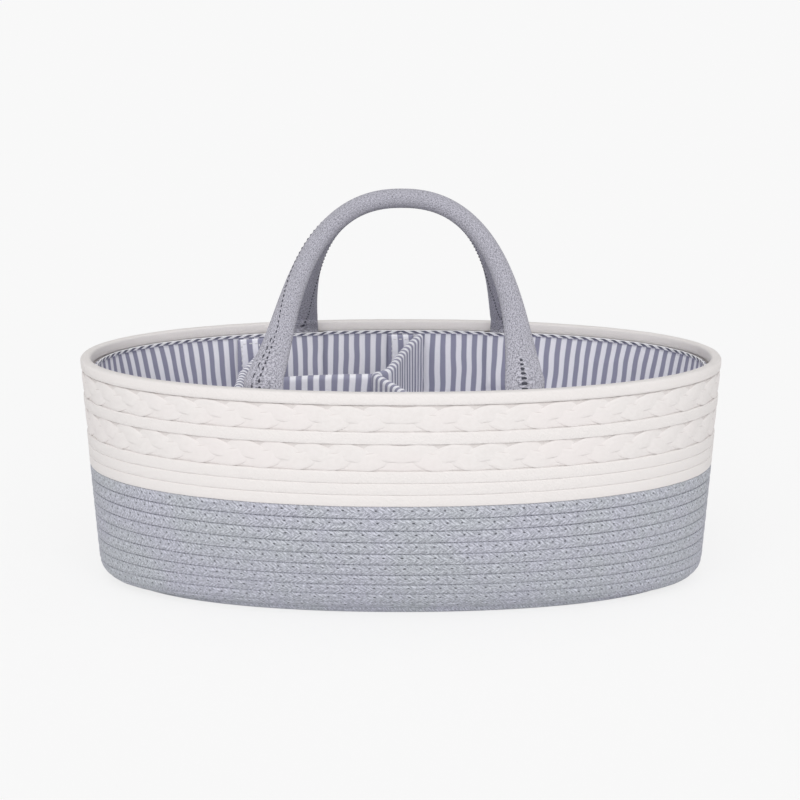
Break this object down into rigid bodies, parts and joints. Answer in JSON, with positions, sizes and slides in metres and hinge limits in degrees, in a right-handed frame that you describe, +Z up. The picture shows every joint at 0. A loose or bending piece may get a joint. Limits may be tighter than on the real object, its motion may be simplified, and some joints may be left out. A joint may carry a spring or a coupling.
{
  "type": "divided rope nursery caddy",
  "caption": "Oval coiled-rope caddy with plaited bands, striped cloth lining, arched soft handles and a lift-out divider insert held by hook tabs.",
  "frame": {"origin": "on the floor under the middle of the basket", "axes": "+X along the basket's length, -Y its front, +Z up"},
  "size_m": [0.3812, 0.2132, 0.2375],
  "materials": {
    "cream_rope": "cream cotton rope and plait",
    "grey_rope": "grey braided cotton rope with slanted stitching",
    "striped_lining": "white canvas with printed grey stripes",
    "divider_cloth": "white canvas with printed grey stripes",
    "heather_cloth": "heather grey woven cloth tube",
    "core_rope": "cotton filler rope",
    "stiff_board": "stiff board",
    "tape": "hook and loop tape"
  },
  "bodies": {
    "basket": {"base_coil": "grey_rope", "grey_wall_rope": "grey_rope", "cream_lower_rope": "cream_rope", "lower_braid": "cream_rope", "cream_middle_rope": "cream_rope", "upper_braid": "cream_rope", "rim_rope": "cream_rope", "lining_side": "striped_lining", "lining_base": "striped_lining", "lining_hem": "striped_lining", "front_left_handle_foot": "heather_cloth", "front_right_handle_foot": "heather_cloth", "back_left_handle_foot": "heather_cloth", "back_right_handle_foot": "heather_cloth", "back_left_loop_tape": "tape", "front_left_loop_tape": "tape", "back_right_loop_tape": "tape", "front_right_loop_tape": "tape"},
    "front_handle": {"front_handle_cover": "heather_cloth", "front_handle_core": "core_rope"},
    "back_handle": {"back_handle_cover": "heather_cloth", "back_handle_core": "core_rope"},
    "divider": {"divider_left_cover": "divider_cloth", "divider_left_board": "stiff_board", "divider_middle_cover": "divider_cloth", "divider_middle_board": "stiff_board", "divider_right_cover": "divider_cloth", "divider_right_board": "stiff_board"},
    "back_left_flap": {"back_left_tab": "divider_cloth", "back_left_hook_tape": "tape"},
    "front_left_flap": {"front_left_tab": "divider_cloth", "front_left_hook_tape": "tape"},
    "back_right_flap": {"back_right_tab": "divider_cloth", "back_right_hook_tape": "tape"},
    "front_right_flap": {"front_right_tab": "divider_cloth", "front_right_hook_tape": "tape"}
  },
  "joints": [
    {"name": "front_handle_swing", "type": "hinge", "parent": "basket", "child": "front_handle", "pos_m": [-0.0037, -0.086, 0.1422], "axis": [1, 0, 0], "range_deg": [0, 128]},
    {"name": "back_handle_swing", "type": "hinge", "parent": "basket", "child": "back_handle", "pos_m": [0.0022, 0.086, 0.1422], "axis": [-1, 0, 0], "range_deg": [0, 128]},
    {"name": "divider_lift", "type": "slide", "parent": "basket", "child": "divider", "axis": [0, 0, 1], "range_m": [0, 0.085]},
    {"name": "back_left_tab_peel", "type": "hinge", "parent": "divider", "child": "back_left_flap", "pos_m": [-0.08808, 0.07978, 0.0774], "axis": [0, 0.0481, 0.9988], "range_deg": [0, 61]},
    {"name": "front_left_tab_peel", "type": "hinge", "parent": "divider", "child": "front_left_flap", "pos_m": [-0.09778, -0.07665, 0.0774], "axis": [0, 0.0528, -0.9986], "range_deg": [0, 65]},
    {"name": "back_right_tab_peel", "type": "hinge", "parent": "divider", "child": "back_right_flap", "pos_m": [0.00807, 0.09073, 0.0774], "axis": [0, 0.0481, 0.9988], "range_deg": [0, 70]},
    {"name": "front_right_tab_peel", "type": "hinge", "parent": "divider", "child": "front_right_flap", "pos_m": [0.01294, -0.09042, 0.0774], "axis": [0, 0.0479, -0.9989], "range_deg": [0, 70]}
  ]
}
